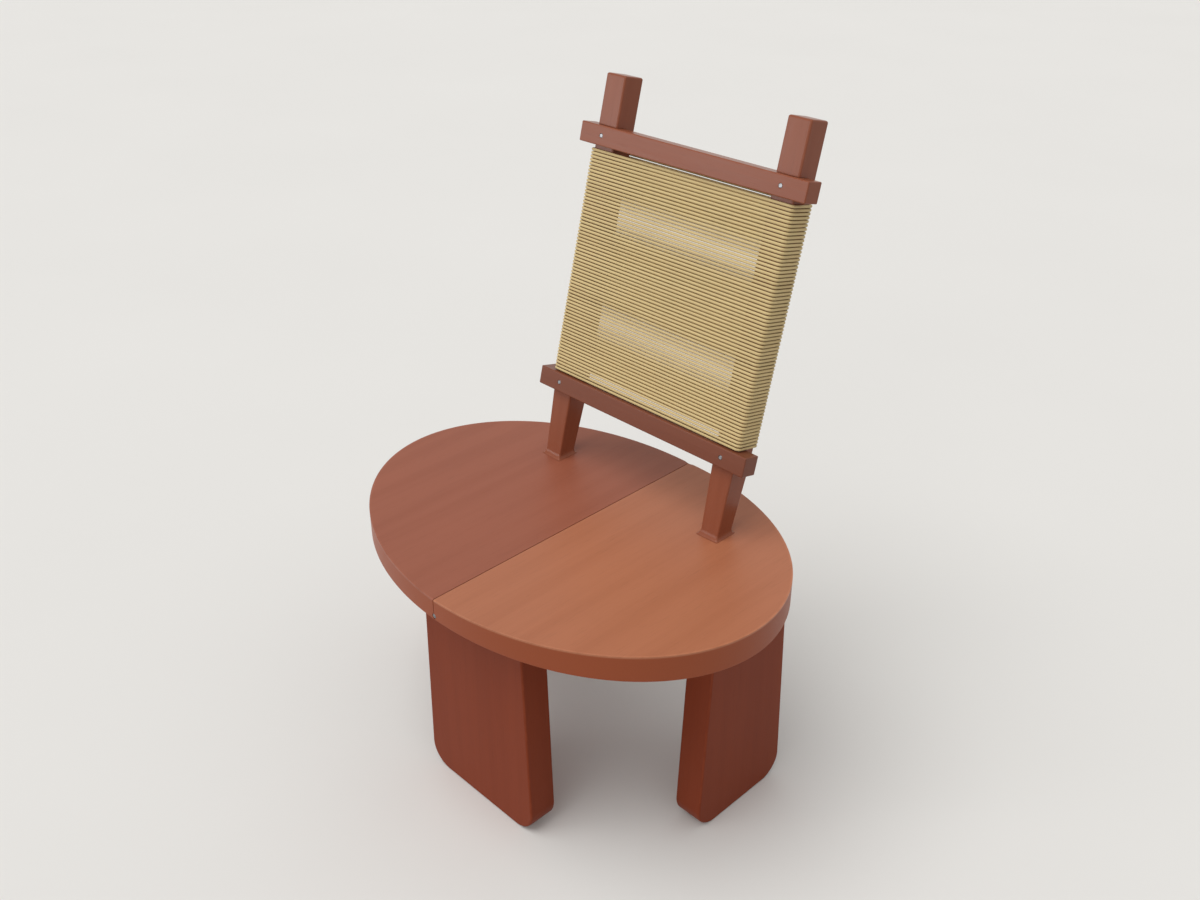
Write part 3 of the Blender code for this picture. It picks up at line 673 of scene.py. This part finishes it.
def slab_leg(word, place, foot, head, tenon_spacing, material):
    shape = bmesh.new()
    corners = [(head / 2, LEG_HEIGHT), (foot / 2, 0), (-foot / 2, 0), (-head / 2, LEG_HEIGHT)]
    face = shape.faces.new([shape.verts.new((x, -LEG_THICKNESS / 2, z)) for x, z in corners])
    corner_angle = pi / 2 - atan2((foot - head) / 2, LEG_HEIGHT)
    feet = [vert for vert in face.verts if vert.co.z < LEG_HEIGHT / 2]
    along_side = LEG_CORNER_RADIUS / tan(corner_angle / 2)
    soften(shape, feet, along_side, LEG_CORNER_STEPS, "VERTICES")
    bmesh.ops.translate(shape, vec=(0, LEG_THICKNESS, 0), verts=drawn_out(shape))

    def outer(edge):
        first, second = (vert.co for vert in edge.verts)
        level = abs(first.y - second.y) < CLEARANCE
        return level and min(first.z, second.z) < LEG_HEIGHT - CLEARANCE

    soften(shape, [edge for edge in shape.edges if outer(edge)], LEG_EDGE_RADIUS)
    tenons = bmesh.new()
    for x in (-tenon_spacing / 2, tenon_spacing / 2):
        low = (x - TENON_WIDTH / 2, -TENON_THICKNESS / 2, LEG_HEIGHT - TENON_LENGTH)
        high = (x + TENON_WIDTH / 2, TENON_THICKNESS / 2, LEG_HEIGHT + TENON_LENGTH)
        add_box(tenons, low, high)
    name, node = f"slab_leg_{word}", f"leg_{word}"
    piece(name, shape, place, material, node, joins=[tenons])


# Back


def post(side, word, material):
    """A leaning post drawn out ring by ring from its tenon to its crown."""
    middle = Vector((side * POST_SPACING / 2, POST_SECTION / 2, 0))
    square = ((1, 1), (-1, 1), (-1, -1), (1, -1))
    shape = bmesh.new()
    face = shape.faces.new([shape.verts.new((x, depth, 0)) for x, depth in square])
    corner = POST_EDGE_RADIUS / (POST_SECTION / 2)
    soften(shape, face.verts[:], corner, CORNER_STEPS, "VERTICES")
    shape.faces.ensure_lookup_table()
    face = shape.faces[0]
    ring = {vert: vert.co.copy() for vert in face.verts}
    for number, (half, height) in enumerate(post_rings()):
        if number:
            face, ring = next_ring(shape, face, ring, keep_face=number == 1)
        for vert, unit in ring.items():
            vert.co = middle + unit * half
            vert.co.z = height(vert.co.x, vert.co.y)
    cuts = (post_openings(side), pin_holes(side))
    piece(f"back_post_{word}", shape, BACK, material, f"post_{word}", cuts)


def post_rings():
    """The post's half width from ring to ring, and what gives a ring its height at each point."""

    def on_seat(rise):
        return lambda x, depth: along_post(depth, seat_top(x)) + CLEARANCE + rise

    def level(height):
        return lambda x, depth: height

    foot, full = POST_SECTION / 2 - POST_FOOT_TAPER, POST_SECTION / 2
    rings = [
        (POST_TENON / 2, lambda x, depth: along_post(depth, SEAT_UNDERSIDE)),
        (POST_TENON / 2, on_seat(0)),
    ]
    for turn in quarter_turn(FLARE_STEPS):
        rise = on_seat(FLARE_HEIGHT * (1 - cos(turn)))
        rings.append((foot + FLARE_REACH * (1 - sin(turn)), rise))
    rings.append((full, level(RAILS["lower"] - RAIL_HEIGHT / 2)))
    for turn in quarter_turn(CORNER_STEPS):
        crown = level(POST_LENGTH - POST_EDGE_RADIUS * (1 - sin(turn)))
        rings.append((full - POST_EDGE_RADIUS * (1 - cos(turn)), crown))
    return rings


def next_ring(shape, face, ring, keep_face):
    """Draws a face out. Returns the new face, and its vertices with their places on the section."""
    drawn = bmesh.ops.extrude_face_region(shape, geom=[face])["geom"]
    if not keep_face:
        bmesh.ops.delete(shape, geom=[face], context="FACES_ONLY")
    new_face = next(item for item in drawn if isinstance(item, bmesh.types.BMFace))
    new_ring = {}
    for vert in new_face.verts:
        nearest = min(ring, key=lambda other: (other.co - vert.co).length)
        new_ring[vert] = ring[nearest]
    return new_face, new_ring


def post_openings(side):
    """Housings for the rails, the wedge's slot and, on the left, the holes for the cord's ends."""
    shape = bmesh.new()
    middle = side * POST_SPACING / 2
    reach = POST_SECTION / 2 + OVERCUT
    half, floor = RAIL_HEIGHT / 2 + CLEARANCE, RAIL_HOUSING + CLEARANCE
    for height in RAILS.values():
        low = (middle - reach, -OVERCUT, height - half)
        add_box(shape, low, (middle + reach, floor, height + half))
    add_wedge_slot(shape, middle, reach)
    if side < 0:
        for x, height in cord_holes():
            add_cord_hole(shape, x, height)
    return shape


def add_wedge_slot(shape, middle, reach):
    """A slot across a post's tenon that narrows with its wedge, from the seat's underside up."""
    axis, end = POST_SECTION / 2, WEDGE_LENGTH + CLEARANCE
    for vert in add_box(shape, (middle - reach, -1, -OVERCUT), (middle + reach, 1, end)):
        narrowing = (WEDGE_THICKNESS - WEDGE_TIP) * vert.co.z / WEDGE_LENGTH
        vert.co.y = axis + vert.co.y * ((WEDGE_THICKNESS - narrowing) / 2 + CLEARANCE)
        vert.co.z += along_post(vert.co.y, SEAT_UNDERSIDE)


def add_cord_hole(shape, x, height):
    """A blind hole into the back of a post, with a countersunk mouth."""
    bore = CORD_DIAMETER / 2 + CLEARANCE
    mouth = bore + CORD_HOLE_MOUTH + OVERCUT
    end = -CORD_HOLE_DEPTH - CLEARANCE
    profile = [(0, OVERCUT), (mouth, OVERCUT), (bore, -CORD_HOLE_MOUTH), (bore, end), (0, end)]
    place = Matrix.Translation((x, POST_SECTION, height)) @ Matrix.Rotation(-pi / 2, 4, "X")
    add_turned(shape, profile, place)


def pin_holes(side):
    """Blind holes for the pins in the floors of the housings."""
    shape = bmesh.new()
    low, high = -PIN_LENGTH - CLEARANCE, OVERCUT - RAIL_THICKNESS
    profile = rod_profile(PIN_DIAMETER / 2 + CLEARANCE, low, high)
    for height in RAILS.values():
        add_turned(shape, profile, pin_place(side, height))
    return shape


def rail(word, height, material):
    shape = bmesh.new()
    low = (-RAIL_LENGTH / 2, RAIL_FRONT, height - RAIL_HEIGHT / 2)
    add_box(shape, low, (RAIL_LENGTH / 2, RAIL_HOUSING, height + RAIL_HEIGHT / 2))
    soften(shape, shape.edges[:], RAIL_EDGE_RADIUS)
    holes = bmesh.new()
    profile = rod_profile(PIN_DIAMETER / 2 + CLEARANCE, -RAIL_THICKNESS - OVERCUT, OVERCUT)
    for side in SIDES.values():
        add_turned(holes, profile, pin_place(side, height))
    piece(f"back_rail_{word}", shape, BACK, material, f"rail_{word}", [holes])


def rail_pin(level, word, side, height, material):
    shape = bmesh.new()
    add_turned(shape, rod_profile(PIN_DIAMETER / 2, -PIN_LENGTH, 0, PIN_CHAMFER))
    name, node = f"steel_pin_{level}_{word}", f"rail_pin_{level}_{word}"
    piece(name, shape, BACK @ pin_place(side, height), material, node)


# Batten


def seat_batten(material):
    shape = bmesh.new()
    top, y = SEAT_UNDERSIDE - CLEARANCE, batten_middle()
    low = (-BATTEN_LENGTH / 2, y - BATTEN_WIDTH / 2, top - BATTEN_THICKNESS)
    add_box(shape, low, (BATTEN_LENGTH / 2, y + BATTEN_WIDTH / 2, top))
    soften(shape, shape.edges[:], BATTEN_EDGE_RADIUS)
    bore, head = BATTEN_SCREW_DIAMETER / 2 + CLEARANCE, BATTEN_SCREW_HEAD / 2 + CLEARANCE
    through = BATTEN_THICKNESS + OVERCUT
    profile = [(0, -OVERCUT), (head, -OVERCUT), (head, CLEARANCE)]
    profile += [(bore, head - bore + CLEARANCE), (bore, through), (0, through)]
    holes = bmesh.new()
    for x in BATTEN_SCREWS:
        add_turned(holes, profile, Matrix.Translation((x, y, top - BATTEN_THICKNESS)))
    piece("batten_board", shape, CHAIR, material, "seat_batten", [holes])


# Cord


def cord_turns():
    """Heights of the turns of each length of cord, along the posts."""
    lengths, first = [], 0
    for count in CORD_LENGTH_TURNS:
        lengths.append([CORD_FIRST_TURN + CORD_PITCH * (first + i) for i in range(count)])
        first += count
    return lengths


def cord_ends(turns):
    """Where a cord comes out of the left post's back and where it goes in again: (x, height)."""
    start = -POST_OUTER + CORD_HOLE_INSET
    end = -POST_OUTER + POST_SECTION - CORD_HOLE_INSET
    return (start, turns[0] - CORD_LEFT_RISE), (end, turns[-1] + CORD_RIGHT_RISE)


def cord_holes():
    return [hole for turns in cord_turns() for hole in cord_ends(turns)]


def cord_corners(turns):
    """Corners of one length of cord, in the back's frame, each with the reach of its bend.

    The runs across the front and the back are level, and the cord climbs on the sides.
    """
    (start_x, start_z), (end_x, end_z) = cord_ends(turns)
    wide = POST_OUTER + CORD_OFFSET
    front, behind = -CORD_OFFSET, POST_SECTION + CORD_OFFSET
    inside = POST_SECTION - CORD_HOLE_DEPTH
    round_post = POST_EDGE_RADIUS + CORD_OFFSET
    corners = [((start_x, inside, start_z), 0), ((start_x, behind, start_z), CORD_OFFSET)]
    for height in turns:
        corners.append(((-wide, behind, height - CORD_LEFT_RISE), round_post))
        corners.append(((-wide, CORD_CLIMB_END, height), CORD_CLIMB_BEND))
        corners += [((x, front, height), round_post) for x in (-wide, wide)]
        corners.append(((wide, behind, height + CORD_RIGHT_RISE), round_post))
    return corners + [((end_x, behind, end_z), CORD_OFFSET), ((end_x, inside, end_z), 0)]


def cord_line(turns):
    """Points along one length of cord, close enough together to show its twist."""
    places, bends = zip(*[(Vector(place), bend) for place, bend in cord_corners(turns)])
    line = [places[0]]
    for i, corner in enumerate(places[1:-1], 1):
        before = (places[i - 1] - corner).normalized() * bends[i]
        after = (places[i + 1] - corner).normalized() * bends[i]
        for turn in quarter_turn(CORD_BEND_STEPS):
            line.append(corner + before * (1 - sin(turn)) + after * (1 - cos(turn)))
    line.append(places[-1])
    points = []
    for a, b in zip(line, line[1:]):
        count = max(1, round((b - a).length / CORD_STEP))
        points += [a.lerp(b, i / count) for i in range(count)]
    return points + [line[-1]]


def strand_section():
    """A curve round the cord's section, with a shallow groove between its strands."""
    curve = bpy.data.curves.new("strand_section", "CURVE")
    spline = curve.splines.new("POLY")
    spline.points.add(CORD_SIDES - 1)
    spline.use_cyclic_u = True
    for i, point in enumerate(spline.points):
        turn = 2 * pi * i / CORD_SIDES
        radius = CORD_DIAMETER / 2 - CORD_GROOVE * (1 - abs(cos(CORD_STRANDS * turn / 2)))
        point.co = (radius * cos(turn), radius * sin(turn), 0, 1)
    made = bpy.data.objects.new("strand_section", curve)
    bpy.context.scene.collection.objects.link(made)
    return made


def wound_cord(number, turns, section, material):
    """One length of twisted cord round both posts, as a mesh."""
    name = f"wound_cord_{number}"
    points = cord_line(turns)
    curve = bpy.data.curves.new(name, "CURVE")
    curve.dimensions = "3D"
    curve.bevel_mode = "OBJECT"
    curve.bevel_object = section
    curve.use_fill_caps = True
    spline = curve.splines.new("POLY")
    spline.points.add(len(points) - 1)
    run = 0.0
    for i, (point, place) in enumerate(zip(spline.points, points)):
        run += (place - points[i - 1]).length if i else 0
        point.co = (*place, 1)
        point.tilt = 2 * pi * run / CORD_TWIST_PITCH
    drawn = bpy.data.objects.new(name + "_line", curve)
    bpy.context.scene.collection.objects.link(drawn)
    mesh = evaluated_mesh(drawn)
    bpy.data.objects.remove(drawn)
    mesh.transform(BACK)
    shape = bmesh.new()
    shape.from_mesh(mesh)
    made = mesh_object(name, shape)
    made.data.shade_smooth()
    made.data.set_sharp_from_angle(angle=CORD_SMOOTH_ANGLE)
    dress(made, material, f"cord_length_{number}")
    print(f"{name}: {run:.2f} m, {len(made.data.polygons)} faces")


def cord_finish():
    """Twisted paper: matt, straw coloured, a little uneven from turn to turn and along a turn."""
    finish = Finish("paper_cord")
    local = finish.place(BACK)
    turns = finish.noise(local, (3, 3, 190), 1)
    runs = finish.noise(local, (22, 22, 22), 2)
    fibres = finish.noise(local, (800, 800, 800), 3, 0.6)
    base = finish.blend(turns.ease(0.3, 0.7) * 0.5, *map(shader_colour, CORD_COLOURS))
    values = {
        "Base Color": finish.scaled(base, 1 + 0.1 * (runs - 0.5) + 0.16 * (fibres - 0.5)),
        "Roughness": 0.72 + 0.14 * (fibres - 0.5),
        "Normal": finish.bump(fibres, 0.12 * MM, 0.4),
        "Sheen Weight": 0.08,
    }
    return finish.shade(values)


# Steel


def steel_finish():
    """Satin steel with fine drawing marks and a faintly uneven tone."""
    finish = Finish("satin_steel")
    local = finish.place(Matrix.Identity(4))
    marks = finish.noise(local, (1500, 120, 1500), 2)
    tone = finish.noise(local, (260, 260, 260), 2)
    values = {
        "Base Color": finish.blend(tone.ease(0.3, 0.7), *map(shader_colour, STEEL_COLOURS)),
        "Metallic": 1.0,
        "Roughness": 0.34 + 0.14 * (marks - 0.5) + 0.08 * (tone - 0.5),
        "Normal": finish.bump(marks, 0.01 * MM, 0.25),
    }
    return finish.shade(values)


# Studio


def floor_finish():
    """A pale floor to look at, which throws less light back at the chair than it shows."""
    finish = Finish("pale_floor")
    tone = finish.noise(finish.place(Matrix.Identity(4)), (1.3, 1.3, 1.3), 3)
    pale = finish.blend(tone, *map(shader_colour, FLOOR_COLOURS))
    base = finish.blend(finish.seen(), shader_colour(FLOOR_BOUNCE), pale)
    return finish.shade({"Base Color": base, "Roughness": 0.85})


def studio_floor():
    shape = bmesh.new()
    bmesh.ops.create_grid(
        shape, x_segments=FLOOR_GRID, y_segments=FLOOR_GRID, size=FLOOR_REACH
    )
    floor = mesh_object("studio_floor", shape)
    floor.data.materials.append(floor_finish())


def studio_sky():
    """Even light from all round, and a pale ground to look at."""
    world = bpy.data.worlds.new("studio")
    bpy.context.scene.world = world
    world.use_nodes = True
    sky = Nodes(world.node_tree)
    sky.tree.nodes.remove(sky.tree.nodes["Background"])
    light = sky.node("Background", {}, {"Color": (1, 1, 1, 1), "Strength": SKY_LIGHT})
    pale = sky.node("Background", {}, {"Color": shader_colour(SKY_COLOUR), "Strength": 1.0})
    mixed = sky.node("MixShader", {}, {0: sky.seen(), 1: light, 2: pale})
    sky.feed(sky.tree.nodes["World Output"].inputs["Surface"], mixed)


def studio_lamps():
    for name, (place, width, strength) in LAMPS.items():
        light = bpy.data.lights.new(name, "SUN")
        light.angle, light.energy = radians(width), strength
        made = bpy.data.objects.new(name, light)
        made.location = place
        aim = LAMP_AIM - made.location
        made.rotation_euler = aim.to_track_quat("-Z", "Y").to_euler()
        bpy.context.scene.collection.objects.link(made)


def camera():
    data = bpy.data.cameras.new("camera")
    data.sensor_width, data.lens = CAMERA_SENSOR, CAMERA_LENS
    made = bpy.data.objects.new("camera", data)
    x, y, z = CAMERA_PLACE
    made.location = (x, CHAIR_SHIFT + y, z)
    made.rotation_euler = (pi / 2 - CAMERA_DIP, 0, CAMERA_TURN)
    bpy.context.scene.collection.objects.link(made)
    bpy.context.scene.camera = made


# Assembly


def build_winding():
    paper, section = cord_finish(), strand_section()
    for number, turns in enumerate(cord_turns(), 1):
        wound_cord(number, turns, section, paper)
    bpy.data.objects.remove(section)


def build_seat(steel):
    front_to_back = CHAIR @ Matrix.Rotation(pi / 2, 4, "X")
    for word, side in SIDES.items():
        grain = Matrix.Translation((side * FIGURE_OUT, 0, FIGURE_UP)) @ front_to_back
        name = f"seat_{word}_oiled"
        seat_half(side, word, wood_finish(name, SEAT_COLOURS[word], grain, seat_edge, seat_rim))
    seam_rod(steel)


def build_legs():
    place = CHAIR @ Matrix.Translation((0, FRONT_LEG_MIDDLE, 0))
    build_leg("front", place, FRONT_LEG_FOOT, FRONT_LEG_HEAD, FRONT_TENON_SPACING)
    for word, side in SIDES.items():
        middle = Matrix.Translation((side * SIDE_LEG_MIDDLE, SIDE_LEG_SETBACK, 0))
        place = CHAIR @ middle @ Matrix.Rotation(side * pi / 2, 4, "Z")
        build_leg(word, place, SIDE_LEG_FOOT, SIDE_LEG_HEAD, SIDE_TENON_SPACING)


def build_leg(word, place, foot, head, tenon_spacing):
    edge = slab_edge(place, foot, head)
    wood = wood_finish(f"{word}_leg_oiled", LEG_COLOUR, place, edge, shine=LEG_SHINE)
    slab_leg(word, place, foot, head, tenon_spacing, wood)


def build_batten():
    middle = (0, batten_middle(), SEAT_UNDERSIDE - BATTEN_THICKNESS / 2)
    grain = CHAIR @ Matrix.Translation(middle) @ ACROSS
    edge = section_edge(grain, BATTEN_THICKNESS / 2, BATTEN_WIDTH / 2, BATTEN_EDGE_RADIUS)
    seat_batten(wood_finish("batten_oiled", LEG_COLOUR, grain, edge))


def build_back(steel):
    oil = {"shine": BACK_SHINE, "rough": BACK_ROUGHNESS}
    half = POST_SECTION / 2
    for word, side in SIDES.items():
        place = BACK @ Matrix.Translation((side * POST_SPACING / 2, half, 0))
        edge = section_edge(place, half, half, POST_EDGE_RADIUS)
        post(side, word, wood_finish(f"{word}_post_oiled", POST_COLOUR, place, edge, **oil))
    middle = (RAIL_FRONT + RAIL_HOUSING) / 2
    for level, height in RAILS.items():
        place = BACK @ Matrix.Translation((0, middle, height)) @ ACROSS
        edge = section_edge(place, RAIL_HEIGHT / 2, RAIL_THICKNESS / 2, RAIL_EDGE_RADIUS)
        name = f"{level}_rail_oiled"
        rail(level, height, wood_finish(name, RAIL_COLOURS_LOWER_PAINTED_SHADE[level], place, edge, **oil))
        for word, side in SIDES.items():
            rail_pin(level, word, side, height, steel)


def dress_small_nodes(steel):
    """Finishes for the screws and wedges, which keep their CAD shapes."""
    wedge_wood = wood_finish("wedge_pale", WEDGE_COLOUR, BACK)
    for name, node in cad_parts.items():
        if name.startswith("batten_screw"):
            node.material_slots[0].material = steel
        if name.startswith("post_wedge"):
            node.material_slots[0].material = wedge_wood


def build():
    bpy.context.scene.view_settings.view_transform = "Standard"
    camera()
    studio_floor()
    studio_sky()
    studio_lamps()
    steel = steel_finish()
    build_winding()
    build_seat(steel)
    build_legs()
    build_batten()
    build_back(steel)
    dress_small_nodes(steel)


build()
